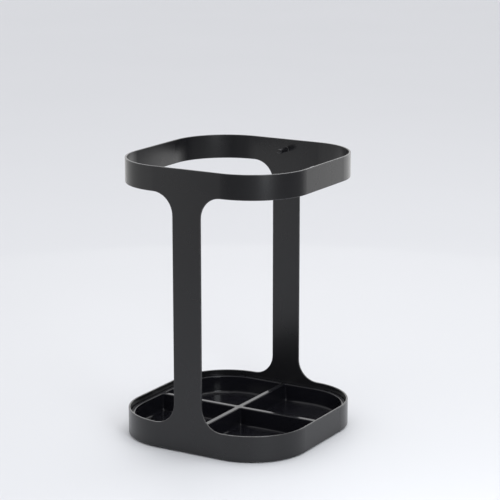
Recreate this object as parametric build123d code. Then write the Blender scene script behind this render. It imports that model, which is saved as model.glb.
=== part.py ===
from build123d import *
import math
import os

# Umbrella stand. Two bent steel sheets are butt-welded into a rounded-square frame with a
# band at the top, a band at the foot and one upright at the front and rear. A plate welded
# inside the lower band carries a lift-out drip tray with four pockets.
# Origin: floor level, centre of the stand. X is left to right, the front faces -Y.

# Overall
stand_width = 310.0
stand_depth = 310.0
stand_height = 450.0
corner_radius = 95.0

# Frame sheet
sheet_thickness = 3.0
sheet_edge_radius = 0.6
top_band_height = 39.0
lower_band_height = 41.0
upright_width = 50.0
web_fillet_radius = 35.0
floor_gap = 2.0

# Base plate, its stitch welds (placed by a share of the half flat) and its feet
plate_thickness = 1.5
plate_gap = 0.3
weld_leg = 1.6
weld_length = 26.0
weld_place = 0.6
foot_diameter = 18.0
foot_edge_radius = 1.0
foot_inset = 42.5

# Hanging pegs
peg_drop = 17.0
peg_diameter = 8.0
peg_length = 24.0
peg_end_radius = 1.4
peg_root_height = 1.0
peg_root_flare = 1.0

# Drip tray
tray_clearance = 0.5
tray_height = 30.5
tray_floor = 1.5
tray_wall = 2.4
tray_rim_width = 7.0
tray_rim_depth = 2.6
divider_width = 9.0
bowl_floor_radius = 5.0
divider_root_radius = 3.5
tray_edge_radius = 1.5
tray_draft = 1.0

# Levels that follow from the sizes above
lower_band_top = floor_gap + lower_band_height
top_band_bottom = stand_height - top_band_height
plate_bottom = floor_gap
plate_top = plate_bottom + plate_thickness
tray_bottom = plate_top
tray_top = tray_bottom + tray_height
peg_level = stand_height - peg_drop


def outline(inset):
    """Plan outline of the stand, moved inwards by inset."""
    width = stand_width - 2 * inset
    depth = stand_depth - 2 * inset
    return RectangleRounded(width, depth, corner_radius - inset)


def slab(sketch, bottom, top):
    """A flat sketch raised to stand between two levels."""
    return extrude(Pos(0, 0, bottom) * sketch, amount=top - bottom)


def window(side):
    """Opening between the bands, beside the uprights; side is 1 for right and -1 for left."""
    inner = upright_width / 2
    reach = stand_width
    height = top_band_bottom - lower_band_top
    middle = (top_band_bottom + lower_band_top) / 2
    face = Plane.XZ * Pos(side * (inner + reach / 2), middle) * Rectangle(reach, height)
    beside_upright = face.vertices().sort_by(Axis.X)
    corners = beside_upright[:2] if side > 0 else beside_upright[-2:]
    return extrude(fillet(corners, web_fillet_radius), amount=stand_depth, both=True)


def is_sheet_edge(edge):
    """True where a cut edge of the sheet meets its inside or outside face."""
    box = edge.bounding_box()
    on_butt_joint = abs(box.min.Y) < 0.01 and abs(box.max.Y) < 0.01
    middle = edge.center()
    on_upright = abs(abs(middle.X) - upright_width / 2) < 0.01
    is_bend_line = box.size.X < 0.01 and box.size.Y < 0.01 and not on_upright
    is_across_sheet = box.size.Z < 0.01 and edge.length < 1.01 * sheet_thickness
    return not (on_butt_joint or is_bend_line or is_across_sheet)


def frame_half(side):
    """One bent sheet: half of each band and an upright; side is 1 for rear and -1 for front."""
    tube = slab(outline(0) - outline(sheet_thickness), floor_gap, stand_height)
    bands = tube - window(1) - window(-1)
    keep = Box(2 * stand_width, stand_depth, 2 * stand_height)
    half = (bands & Pos(0, side * stand_depth / 2, 0) * keep).solid()
    return fillet(half.edges().filter_by(is_sheet_edge), sheet_edge_radius)


def base_plate():
    """Plate that closes the lower band and carries the tray and the feet."""
    return slab(outline(sheet_thickness + plate_gap), plate_bottom, plate_top)


def plate_welds():
    """Stitch welds on top of the plate, two on the flat of each side, hidden by the tray."""
    section = Polyline((0, 0), (-weld_leg, 0), (0, weld_leg), close=True)
    bead = extrude(Plane.XZ * make_face(section), amount=weld_length / 2, both=True)
    beads = []
    for angle in (0, 90, 180, 270):
        across, along = (stand_width, stand_depth) if angle in (0, 180) else (stand_depth, stand_width)
        reach = across / 2 - sheet_thickness
        place = weld_place * (along / 2 - corner_radius)
        for end in (-1, 1):
            beads.append(Rot(0, 0, angle) * Pos(reach, end * place, plate_top) * bead)
    return Compound(children=beads)


def foot(side_x, side_y):
    """Round rubber pad stuck under the plate."""
    pad = Cylinder(foot_diameter / 2, plate_bottom, align=(Align.CENTER, Align.CENTER, Align.MIN))
    pad = fillet(pad.edges().group_by(Axis.Z)[0], foot_edge_radius)
    place_x = side_x * (stand_width / 2 - foot_inset)
    place_y = side_y * (stand_depth / 2 - foot_inset)
    return Pos(place_x, place_y, 0) * pad


def hanging_peg(side):
    """Round peg stud-welded inside an upright; side is 1 for rear and -1 for front."""
    upwards = (Align.CENTER, Align.CENTER, Align.MIN)
    bar = Cylinder(peg_diameter / 2, peg_length, align=upwards)
    bar = fillet(bar.edges().group_by(Axis.Z)[-1], peg_end_radius)
    root_radius = peg_diameter / 2 + peg_root_flare
    root = Cone(root_radius, peg_diameter / 2, peg_root_height, align=upwards)
    start = Plane(
        origin=(0, side * (stand_depth / 2 - sheet_thickness), peg_level),
        x_dir=(1, 0, 0),
        z_dir=(0, -side, 0),
    )
    return start * (bar + root)


def pocket(side_x, side_y):
    """Hollow of one tray pocket: a quarter of a drafted bowl, rounded where the cross meets it."""
    wall = sheet_thickness + tray_clearance + tray_rim_width
    hollow_depth = tray_height - tray_floor
    bowl = extrude(Pos(0, 0, tray_top) * outline(wall), amount=-hollow_depth, taper=tray_draft)
    bowl = fillet(bowl.edges().group_by(Axis.Z)[0], bowl_floor_radius)
    near = divider_width / 2
    centre = Pos(side_x * (near + stand_width / 2), side_y * (near + stand_depth / 2), tray_top)
    quarter = centre * Rectangle(stand_width, stand_depth)
    hollow = (bowl & extrude(quarter, amount=-hollow_depth, taper=tray_draft)).solid()
    lean = hollow_depth * math.tan(math.radians(tray_draft))
    roots = []
    for edge in hollow.edges():
        reach = edge.bounding_box().max
        low = edge.bounding_box().min
        beside_x = max(abs(reach.X), abs(low.X)) < near + lean + 0.01
        beside_y = max(abs(reach.Y), abs(low.Y)) < near + lean + 0.01
        if (beside_x or beside_y) and low.Z < tray_top - 0.01:
            roots.append(edge)
    return fillet(roots, divider_root_radius)


def drip_tray():
    """One moulding: four pockets, a rim that hides the gap to the frame and a hollow cross."""
    rim_outline = outline(sheet_thickness + tray_clearance)
    wall_inset = sheet_thickness + tray_clearance + tray_rim_width - tray_wall
    rim_bottom = tray_top - tray_rim_depth
    tray = slab(rim_outline, rim_bottom, tray_top) + slab(outline(wall_inset), tray_bottom, rim_bottom)
    for side_x in (-1, 1):
        for side_y in (-1, 1):
            tray -= pocket(side_x, side_y)
    core_width = divider_width - 2 * tray_wall
    core_x = stand_width - 2 * (wall_inset + tray_wall)
    core_y = stand_depth - 2 * (wall_inset + tray_wall)
    tray -= slab(Rectangle(core_x, core_width), tray_bottom, rim_bottom)
    tray -= slab(Rectangle(core_width, core_y), tray_bottom, rim_bottom)
    return fillet(tray.edges().group_by(Axis.Z)[-1], tray_edge_radius)


os.makedirs("parts", exist_ok=True)

nodes = {
    "base_plate": base_plate(),
    "plate_welds": plate_welds(),
    "drip_tray": drip_tray(),
}
for end, side in (("front", -1), ("rear", 1)):
    nodes[f"frame_half_{end}"] = frame_half(side)
    nodes[f"hanging_peg_{end}"] = hanging_peg(side)
    for hand, side_x in (("left", -1), ("right", 1)):
        nodes[f"foot_{end}_{hand}"] = foot(side_x, side)

for name, shape in nodes.items():
    export_step(shape, f"parts/{name}.step")
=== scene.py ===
import math

import bmesh
import bpy
from mathutils import Matrix, Vector


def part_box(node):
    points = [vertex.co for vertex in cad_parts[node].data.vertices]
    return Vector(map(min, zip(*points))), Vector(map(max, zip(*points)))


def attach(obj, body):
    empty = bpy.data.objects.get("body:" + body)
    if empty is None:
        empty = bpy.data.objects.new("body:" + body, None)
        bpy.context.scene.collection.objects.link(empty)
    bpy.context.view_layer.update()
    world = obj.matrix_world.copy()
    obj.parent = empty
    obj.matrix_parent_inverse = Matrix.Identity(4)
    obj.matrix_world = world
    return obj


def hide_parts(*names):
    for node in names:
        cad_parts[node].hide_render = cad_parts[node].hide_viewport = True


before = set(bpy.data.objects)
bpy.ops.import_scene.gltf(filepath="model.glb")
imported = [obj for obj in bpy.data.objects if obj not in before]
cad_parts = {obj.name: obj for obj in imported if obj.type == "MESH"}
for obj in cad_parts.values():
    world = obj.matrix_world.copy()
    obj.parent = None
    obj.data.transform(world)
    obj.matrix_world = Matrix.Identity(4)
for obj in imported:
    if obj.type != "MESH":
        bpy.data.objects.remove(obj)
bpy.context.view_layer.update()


# ---- Frame: two bent sheets ----
# Each half is a 3 mm steel sheet cut to an I shape and bent round two corners. The halves are
# butt-welded at the middle of both open sides and the seams ground flush, then the whole frame
# gets one fine satin black powder coat.

def add_group(name, inputs, outputs):
    """An empty node group with named float, vector or colour sockets."""
    group = bpy.data.node_groups.new(name, "ShaderNodeTree")
    for socket, kind, value in inputs:
        item = group.interface.new_socket(socket, in_out="INPUT", socket_type="NodeSocket" + kind)
        if value is not None:
            item.default_value = value
    for socket, kind in outputs:
        group.interface.new_socket(socket, in_out="OUTPUT", socket_type="NodeSocket" + kind)
    return group, group.nodes.new("NodeGroupInput"), group.nodes.new("NodeGroupOutput")


def add_node(tree, kind, **settings):
    """A shader node with its properties set."""
    node = tree.nodes.new("ShaderNode" + kind)
    for setting, value in settings.items():
        setattr(node, setting, value)
    return node


def add_noise(tree, place, scale, detail, roughness=0.5):
    """Noise on the given coordinates, with its scale in cells to the metre."""
    noise = add_node(tree, "TexNoise")
    noise.inputs["Detail"].default_value = detail
    noise.inputs["Roughness"].default_value = roughness
    tree.links.new(place, noise.inputs["Vector"])
    if isinstance(scale, bpy.types.NodeSocket):
        tree.links.new(scale, noise.inputs["Scale"])
    else:
        noise.inputs["Scale"].default_value = scale
    return noise.outputs["Fac"]


def add_math(tree, operation, first, second):
    """One sum on two sockets or numbers."""
    node = add_node(tree, "Math", operation=operation)
    for socket, value in zip(node.inputs, (first, second)):
        if isinstance(value, bpy.types.NodeSocket):
            tree.links.new(value, socket)
        else:
            socket.default_value = value
    return node.outputs[0]


def add_range(tree, value, low, high, new_low, new_high):
    """A value moved from one range to another, with soft ends."""
    node = add_node(tree, "MapRange", interpolation_type="SMOOTHSTEP")
    tree.links.new(value, node.inputs["Value"])
    for socket, number in zip(node.inputs[1:5], (low, high, new_low, new_high)):
        socket.default_value = number
    return node.outputs["Result"]


def make_coat_grain():
    """Sprayed powder that has flowed: a soft orange peel with finer grain on top."""
    inputs = (("Place", "Vector", None), ("Peel Scale", "Float", 420.0), ("Grain Scale", "Float", 1900.0))
    outputs = (("Height", "Float"), ("Fleck", "Float"))
    group, given, out = add_group("coat_grain", inputs, outputs)
    place = given.outputs["Place"]
    peel = add_noise(group, place, given.outputs["Peel Scale"], 2.0)
    grain = add_noise(group, place, given.outputs["Grain Scale"], 3.0, 0.6)
    soft = add_math(group, "MULTIPLY", peel, 0.75)
    height = add_math(group, "ADD", soft, add_math(group, "MULTIPLY", grain, 0.25))
    group.links.new(height, out.inputs["Height"])
    group.links.new(add_range(group, grain, 0.58, 0.72, 0.0, 1.0), out.inputs["Fleck"])
    return group


def make_edge_rub_and_highlight():
    """Mask of the outward edges, broken up so that it is never a clean line: partly edges that hands
    and umbrellas rub, partly a painted edge highlight. It leaves out inside corners and the ground
    butt joints in the plane Y = 0."""
    inputs = (("Place", "Vector", None), ("Breakup Scale", "Float", 90.0))
    group, given, out = add_group("edge_rub_and_highlight", inputs, (("Mask", "Float"),))
    bevel = add_node(group, "Bevel", samples=4)
    bevel.inputs["Radius"].default_value = 0.0016
    geometry = add_node(group, "NewGeometry")
    dot = add_node(group, "VectorMath", operation="DOT_PRODUCT")
    group.links.new(bevel.outputs["Normal"], dot.inputs[0])
    group.links.new(geometry.outputs["Normal"], dot.inputs[1])
    edge = add_range(group, dot.outputs["Value"], 0.995, 0.86, 0.0, 1.0)
    breakup = add_noise(group, given.outputs["Place"], given.outputs["Breakup Scale"], 4.0, 0.65)
    worn_and_lit = add_math(group, "MULTIPLY", edge, add_range(group, breakup, 0.38, 0.66, 0.25, 1.0))
    nearby = add_node(group, "AmbientOcclusion", samples=6)
    nearby.inputs["Distance"].default_value = 0.004
    outward = add_range(group, nearby.outputs["AO"], 0.78, 0.92, 0.0, 1.0)
    across = add_node(group, "SeparateXYZ")
    group.links.new(given.outputs["Place"], across.inputs[0])
    from_joint = add_math(group, "ABSOLUTE", across.outputs["Y"], 0.0)
    off_joint = add_range(group, from_joint, 0.0025, 0.005, 0.0, 1.0)
    rubbed_and_lit = add_math(group, "MULTIPLY", add_math(group, "MULTIPLY", worn_and_lit, outward), off_joint)
    group.links.new(rubbed_and_lit, out.inputs["Mask"])
    return group


def place_group(tree, group, place):
    """A group node on the given coordinates."""
    node = add_node(tree, "Group", node_tree=group)
    tree.links.new(place, node.inputs["Place"])
    return node


def add_mix(tree, factor, first, second):
    """Colour mix; the two colours are sockets or plain RGBA values."""
    node = add_node(tree, "Mix", data_type="RGBA")
    tree.links.new(factor, node.inputs["Factor"])
    colours = [s for s in node.inputs if s.type == "RGBA"]
    for socket, colour in zip(colours, (first, second)):
        if isinstance(colour, bpy.types.NodeSocket):
            tree.links.new(colour, socket)
        else:
            socket.default_value = colour
    return next(s for s in node.outputs if s.type == "RGBA")


def start_material(name):
    """A new material: its node tree, its Principled shader and Object coordinates."""
    material = bpy.data.materials.new(name)
    material.use_nodes = True
    tree = material.node_tree
    shader = tree.nodes["Principled BSDF"]
    return material, tree, shader, add_node(tree, "TexCoord").outputs["Object"]


def add_bump(tree, shader, height, distance):
    """Surface relief of the given depth in metres."""
    bump = add_node(tree, "Bump")
    bump.inputs["Distance"].default_value = distance
    tree.links.new(height, bump.inputs["Height"])
    tree.links.new(bump.outputs["Normal"], shader.inputs["Normal"])


coat_grain = make_coat_grain()
edge_rub_and_highlight = make_edge_rub_and_highlight()


def make_powder_coat():
    """Satin black powder coat, a little polished where it is rubbed, and lighter along its outward
    edges: partly rubbed wear and partly a painted edge highlight.
    """
    material, tree, shader, place = start_material("satin_black_powder_coat")
    grain = place_group(tree, coat_grain, place)
    rub_and_highlight = place_group(tree, edge_rub_and_highlight, place)
    cloud = add_noise(tree, place, 9.0, 3.0)
    base = add_mix(tree, cloud, (0.0046, 0.0047, 0.0058, 1), (0.0062, 0.0062, 0.0076, 1))
    fleck_share = add_math(tree, "MULTIPLY", grain.outputs["Fleck"], 0.3)
    flecked = add_mix(tree, fleck_share, base, (0.017, 0.017, 0.018, 1))
    # Lighter colour along the outward edges: partly rubbed wear, partly a painted edge highlight.
    rub_and_highlight_share = add_math(tree, "MULTIPLY", rub_and_highlight.outputs["Mask"], 0.8)
    rubbed_and_lit = add_mix(tree, rub_and_highlight_share, flecked, (0.15, 0.15, 0.154, 1))
    tree.links.new(rubbed_and_lit, shader.inputs["Base Color"])
    satin = add_range(tree, cloud, 0.3, 0.7, 0.25, 0.29)
    polished = add_math(tree, "SUBTRACT", satin, add_math(tree, "MULTIPLY", rub_and_highlight.outputs["Mask"], 0.06))
    tree.links.new(polished, shader.inputs["Roughness"])
    add_bump(tree, shader, grain.outputs["Height"], 0.00003)
    return material


def coat_node(name, material):
    """Gives a CAD node its finished material."""
    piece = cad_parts[name]
    piece.data.materials.clear()
    piece.data.materials.append(material)


powder_coat = make_powder_coat()
for end in ("front", "rear"):
    coat_node(f"frame_half_{end}", powder_coat)


# ---- Base plate and its stitch welds ----
# A 1.5 mm steel plate closes the lower band, flush with its bottom edge. Short fillet welds, two
# to a side, hold it from above, where the tray hides them. It is coated together with the frame.

coat_node("base_plate", powder_coat)
weld_low, weld_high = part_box("plate_welds")
weld_leg = weld_high.z - weld_low.z
right_rear_bead = [v.co.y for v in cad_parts["plate_welds"].data.vertices
                   if v.co.x > weld_high.x - 1.1 * weld_leg and v.co.y > 0]
weld_length = max(right_rear_bead) - min(right_rear_bead)
weld_offset = (max(right_rear_bead) + min(right_rear_bead)) / 2
weld_ripple = 0.0013


def shape_bead():
    """One rippled weld along Y, in the corner between the plate below and a wall on its +X side."""
    mesh = bmesh.new()
    corner = mesh.verts.new((0, -weld_length / 2, 0))
    toe = mesh.verts.new((-weld_leg, -weld_length / 2, 0))
    bmesh.ops.spin(mesh, geom=[toe], cent=corner.co, axis=(0, 1, 0), angle=math.pi / 2, steps=6)
    face = mesh.faces.new([corner, *[v for v in mesh.verts if v is not corner]])
    steps = round(weld_length / weld_ripple) * 2
    for _ in range(steps):
        made = bmesh.ops.extrude_face_region(mesh, geom=[face], use_keep_orig=False)
        face = next(g for g in made["geom"] if isinstance(g, bmesh.types.BMFace))
        bmesh.ops.translate(mesh, verts=face.verts, vec=(0, weld_length / steps, 0))
    along = sorted({round(v.co.y, 6) for v in mesh.verts})
    for i, y in enumerate(along):
        run_in = min(1.0, 0.35 + 0.3 * i, 0.35 + 0.3 * (steps - i))
        size = run_in * (1.0 if i % 2 else 0.88)
        ring = [v for v in mesh.verts if abs(v.co.y - y) < 1e-5]
        bmesh.ops.scale(mesh, verts=ring, vec=(size, 1, size), space=Matrix.Translation((0, -y, 0)))
    bmesh.ops.recalc_face_normals(mesh, faces=mesh.faces)
    return mesh


def finish_piece(name, mesh, material, body, smooth_under=40):
    """Links a finished mesh as a piece that rides on a body."""
    data = bpy.data.meshes.new(name)
    mesh.to_mesh(data)
    mesh.free()
    for face in data.polygons:
        face.use_smooth = True
    data.set_sharp_from_angle(angle=math.radians(smooth_under))
    piece = bpy.data.objects.new(name, data)
    bpy.context.scene.collection.objects.link(piece)
    data.materials.append(material)
    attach(piece, body)
    return piece


welds = bmesh.new()
for quarter in range(4):
    for offset in (-weld_offset, weld_offset):
        bead = shape_bead()
        bead_data = bpy.data.meshes.new("bead")
        bead.to_mesh(bead_data)
        bead.free()
        first = len(welds.verts)
        welds.from_mesh(bead_data)
        bpy.data.meshes.remove(bead_data)
        welds.verts.ensure_lookup_table()
        turn = Matrix.Rotation(math.radians(90 * quarter), 4, "Z")
        placed = turn @ Matrix.Translation((weld_high.x, offset, weld_low.z))
        bmesh.ops.transform(welds, matrix=placed, verts=welds.verts[first:])
weld_piece = finish_piece("stitch_welds", welds, powder_coat, "frame")
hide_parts("plate_welds")


# ---- Hanging pegs ----
# An 8 mm round steel bar is stud-welded inside each upright, near the middle of the top
# band, and coated with the frame. A folding umbrella hangs on it by its strap. The weld leaves a
# small hollow fillet round the root, and the tip is turned with a rounded edge.

peg_flare = 0.001
peg_tip_radius = 0.0014


def shape_peg(low, high, inwards):
    """Turned peg along Y between two corners of its box; inwards is the way it points."""
    mesh = bmesh.new()
    flange = (high.x - low.x) / 2
    radius = flange - peg_flare
    length = high.y - low.y
    profile = [(0, 0)]
    for step in range(7):
        turn = math.pi / 2 * step / 6
        profile.append((flange - peg_flare * math.sin(turn), peg_flare - peg_flare * math.cos(turn)))
    for step in range(9):
        turn = math.pi / 2 * step / 8
        reach = radius - peg_tip_radius + peg_tip_radius * math.cos(turn)
        profile.append((reach, length - peg_tip_radius + peg_tip_radius * math.sin(turn)))
    profile.append((0, length))
    root = Vector(((low.x + high.x) / 2, low.y if inwards > 0 else high.y, (low.z + high.z) / 2))
    points = [mesh.verts.new(root + Vector((out, inwards * along, 0))) for out, along in profile]
    edges = [mesh.edges.new(pair) for pair in zip(points, points[1:])]
    outline = [*points, *edges]
    bmesh.ops.spin(mesh, geom=outline, cent=root, axis=(0, 1, 0), angle=math.tau, steps=48, use_merge=True)
    bmesh.ops.remove_doubles(mesh, verts=mesh.verts, dist=1e-6)
    bmesh.ops.recalc_face_normals(mesh, faces=mesh.faces)
    return mesh


for end, inwards in (("front", 1), ("rear", -1)):
    node = f"hanging_peg_{end}"
    turned = shape_peg(*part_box(node), inwards)
    peg = finish_piece(f"turned_peg_{end}", turned, powder_coat, "frame")
    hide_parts(node)


# ---- Drip tray ----
# One injection moulding in polished black plastic: four drafted pockets, a rounded rim and a
# cross that is hollow underneath. It lies loose on the base plate and lifts out to be emptied.

def make_tray_plastic():
    """Polished black plastic with faint waviness, hairline scratches and a trace of dust."""
    material, tree, shader, place = start_material("polished_black_plastic")
    wave = add_noise(tree, place, 38.0, 1.0)
    fine = add_noise(tree, place, 700.0, 2.0)
    stretch = add_node(tree, "Mapping")
    stretch.inputs["Scale"].default_value = (1.0, 14.0, 1.0)
    stretch.inputs["Rotation"].default_value = (0.0, 0.0, math.radians(24))
    tree.links.new(place, stretch.inputs["Vector"])
    hair = add_noise(tree, stretch.outputs["Vector"], 260.0, 5.0, 0.7)
    scratch = add_range(tree, hair, 0.66, 0.74, 0.0, 1.0)
    geometry = add_node(tree, "NewGeometry")
    facing = add_node(tree, "SeparateXYZ")
    tree.links.new(geometry.outputs["Normal"], facing.inputs[0])
    upward = add_range(tree, facing.outputs["Z"], 0.75, 1.0, 0.0, 1.0)
    patches = add_range(tree, add_noise(tree, place, 55.0, 5.0, 0.7), 0.42, 0.75, 0.1, 1.0)
    film = add_math(tree, "MULTIPLY", upward, patches)
    film_share = add_math(tree, "MULTIPLY", film, 0.12)
    colour = add_mix(tree, film_share, (0.0058, 0.0058, 0.0078, 1), (0.024, 0.024, 0.029, 1))
    tree.links.new(colour, shader.inputs["Base Color"])
    dulled = add_range(tree, film, 0.0, 1.0, 0.13, 0.18)
    rough = add_math(tree, "ADD", dulled, add_math(tree, "MULTIPLY", scratch, 0.10))
    tree.links.new(rough, shader.inputs["Roughness"])
    relief = add_math(tree, "ADD", wave, add_math(tree, "MULTIPLY", fine, 0.02))
    add_bump(tree, shader, relief, 0.0001)
    shader.inputs["Specular IOR Level"].default_value = 0.28
    return material


coat_node("drip_tray", make_tray_plastic())


# ---- Feet ----
# Round pads of black rubber, stuck under the corners of the plate. A shallow groove leaves a
# ring and a button that grip the floor.

def make_foot_rubber():
    """Matt black rubber with fine pores and a little grey dust in them."""
    material, tree, shader, place = start_material("matt_black_rubber")
    pores = add_noise(tree, place, 1500.0, 4.0, 0.7)
    dust = add_noise(tree, place, 160.0, 4.0)
    dusty = add_math(tree, "MULTIPLY", add_range(tree, dust, 0.45, 0.7, 0.0, 1.0), 0.4)
    colour = add_mix(tree, dusty, (0.014, 0.014, 0.014, 1), (0.055, 0.053, 0.05, 1))
    tree.links.new(colour, shader.inputs["Base Color"])
    tree.links.new(add_range(tree, pores, 0.3, 0.7, 0.78, 0.92), shader.inputs["Roughness"])
    add_bump(tree, shader, pores, 0.00008)
    return material


foot_rubber = make_foot_rubber()
foot_edge = 0.001
groove_inner = 0.0042
groove_outer = 0.0062
groove_depth = 0.0008
groove_slope = 0.0003


def shape_foot(low, high):
    """A pad spun about its own axis, between its lowest and highest corners."""
    radius = (high.x - low.x) / 2
    top = high.z
    profile = [(0, 0), (groove_inner - groove_slope, 0), (groove_inner, groove_depth)]
    profile += [(groove_outer, groove_depth), (groove_outer + groove_slope, 0), (radius - foot_edge, 0)]
    for i in range(1, 5):
        turn = math.radians(90 * i / 4)
        out = radius - foot_edge + foot_edge * math.sin(turn)
        profile.append((out, foot_edge - foot_edge * math.cos(turn)))
    profile += [(radius, top), (0, top)]
    mesh = bmesh.new()
    centre = Vector(((low.x + high.x) / 2, (low.y + high.y) / 2, 0))
    points = [mesh.verts.new(centre + Vector((r, 0, z))) for r, z in profile]
    edges = [mesh.edges.new(pair) for pair in zip(points, points[1:])]
    outline = [*points, *edges]
    bmesh.ops.spin(mesh, geom=outline, cent=centre, axis=(0, 0, 1), angle=math.tau, steps=48, use_merge=True)
    bmesh.ops.remove_doubles(mesh, verts=mesh.verts, dist=1e-6)
    bmesh.ops.recalc_face_normals(mesh, faces=mesh.faces)
    return mesh


for end in ("front", "rear"):
    for hand in ("left", "right"):
        node = f"foot_{end}_{hand}"
        turned = shape_foot(*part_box(node))
        pad = finish_piece(f"foot_pad_{end}_{hand}", turned, foot_rubber, "frame")
        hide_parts(node)


# ---- Floor, light and camera ----
# A plain pale studio floor, a bright surround, a soft overhead lamp and a small one for sparkle,
# with a glowing ring of painted reflections that only the gloss sees. The stand is seen from the front
# right.

floor_mesh = bmesh.new()
bmesh.ops.create_grid(floor_mesh, x_segments=1, y_segments=1, size=20)
floor_data = bpy.data.meshes.new("floor")
floor_mesh.to_mesh(floor_data)
floor_mesh.free()
floor = bpy.data.objects.new("floor", floor_data)
bpy.context.scene.collection.objects.link(floor)
floor_material, floor_tree, floor_shader, floor_place = start_material("pale_studio_floor")
floor_cloud = add_noise(floor_tree, floor_place, 1.5, 2.0)
floor_colour = add_mix(floor_tree, floor_cloud, (0.60, 0.61, 0.63, 1), (0.62, 0.63, 0.65, 1))
floor_tree.links.new(floor_colour, floor_shader.inputs["Base Color"])
floor_shader.inputs["Roughness"].default_value = 0.6
floor_data.materials.append(floor_material)

world = bpy.data.worlds.new("surround")
bpy.context.scene.world = world
world.use_nodes = True
world.node_tree.nodes["Background"].inputs["Color"].default_value = (0.93, 0.93, 0.95, 1)
world.node_tree.nodes["Background"].inputs["Strength"].default_value = 1.12
middle = Vector((0, 0, 0.225))


def from_middle(azimuth, elevation, distance):
    """A place round the stand: azimuth 0 is in front and 90 on the right, in degrees."""
    around, up = math.radians(azimuth), math.radians(elevation)
    level = math.cos(up) * distance
    return middle + Vector((math.sin(around) * level, -math.cos(around) * level, math.sin(up) * distance))


def add_softbox(name, place, width, height, radiance, colour=(1, 1, 1)):
    """A rectangular lamp that faces the stand, given by how bright it looks in a reflection."""
    lamp = bpy.data.lights.new(name, "AREA")
    lamp.shape = "RECTANGLE"
    lamp.size = width
    lamp.size_y = height
    lamp.energy = radiance * math.pi * width * height
    lamp.color = colour
    box = bpy.data.objects.new(name, lamp)
    box.location = place
    box.rotation_euler = (middle - place).to_track_quat("-Z", "Y").to_euler()
    box.visible_camera = False
    bpy.context.scene.collection.objects.link(box)


add_softbox("window_right", from_middle(54, 19, 1.15), 0.30, 0.42, 10.0, (0.93, 0.97, 1.0))
add_softbox("overhead", from_middle(140, 74, 3.0), 2.4, 2.4, 1.6)

# Studio flats in a ring round the stand that glow and show only in its gloss: their tones are painted
# reflections. They run from pale on the left, through a dark stretch in front and another on the
# right, to pale again behind.
flat_radius = 1.3
flat_height = 1.2
painted_reflection_tones = ((-180, 1.25), (-162, 1.45), (-138, 1.45), (-122, 1.25), (-105, 1.00), (-78, 0.76),
              (-50, 0.80), (-33, 0.93), (-20, 0.22), (14, 0.22), (34, 0.30), (52, 0.38), (70, 0.34),
              (88, 0.26), (128, 0.30), (140, 0.80), (151, 1.62), (168, 1.45))

flats_mesh = bmesh.new()
bmesh.ops.create_circle(flats_mesh, cap_ends=False, segments=72, radius=flat_radius)
raised = bmesh.ops.extrude_edge_only(flats_mesh, edges=flats_mesh.edges[:])
top = [g for g in raised["geom"] if isinstance(g, bmesh.types.BMVert)]
bmesh.ops.translate(flats_mesh, verts=top, vec=(0, 0, flat_height))
flats_data = bpy.data.meshes.new("painted_reflection_ring")
flats_mesh.to_mesh(flats_data)
flats_mesh.free()
flats = bpy.data.objects.new("painted_reflection_ring", flats_data)
bpy.context.scene.collection.objects.link(flats)
flats.visible_camera = False
flats.visible_diffuse = False
flats.visible_transmission = False
flats.visible_volume_scatter = False
flats.visible_shadow = False
flats_material, flats_tree, flats_shader, flats_place = start_material("painted_reflection_glow")
across = add_node(flats_tree, "SeparateXYZ")
flats_tree.links.new(flats_place, across.inputs[0])
front = add_math(flats_tree, "MULTIPLY", across.outputs["Y"], -1.0)
turn = add_math(flats_tree, "ARCTAN2", across.outputs["X"], front)
share = add_math(flats_tree, "ADD", add_math(flats_tree, "DIVIDE", turn, math.tau), 0.5)
tones = add_node(flats_tree, "ValToRGB")
tones.color_ramp.elements.remove(tones.color_ramp.elements[1])
brightest = max(tone for _, tone in painted_reflection_tones)
for i, (azimuth, tone) in enumerate(painted_reflection_tones):
    stop = tones.color_ramp.elements[0] if i == 0 else tones.color_ramp.elements.new(azimuth / 360 + 0.5)
    stop.position = azimuth / 360 + 0.5
    stop.color = (tone / brightest, tone / brightest, tone / brightest, 1)
flats_tree.links.new(share, tones.inputs["Fac"])
flats_shader.inputs["Base Color"].default_value = (0, 0, 0, 1)
flats_shader.inputs["Specular IOR Level"].default_value = 0
# The ring glows with these tones: painted reflections, bright in some directions and dark in others.
flats_shader.inputs["Emission Strength"].default_value = brightest
flats_tree.links.new(tones.outputs["Color"], flats_shader.inputs["Emission Color"])
flats_data.materials.append(flats_material)

camera_data = bpy.data.cameras.new("camera")
camera_data.sensor_width = 36.0
camera_data.lens = 135.0
camera_data.clip_end = 60
camera = bpy.data.objects.new("camera", camera_data)
camera.location = from_middle(30.87, 14.61, 2.994)
camera.rotation_euler = [math.radians(angle) for angle in (76.685, 0.006, 30.516)]
bpy.context.scene.collection.objects.link(camera)
bpy.context.scene.camera = camera
bpy.context.scene.view_settings.view_transform = "Standard"
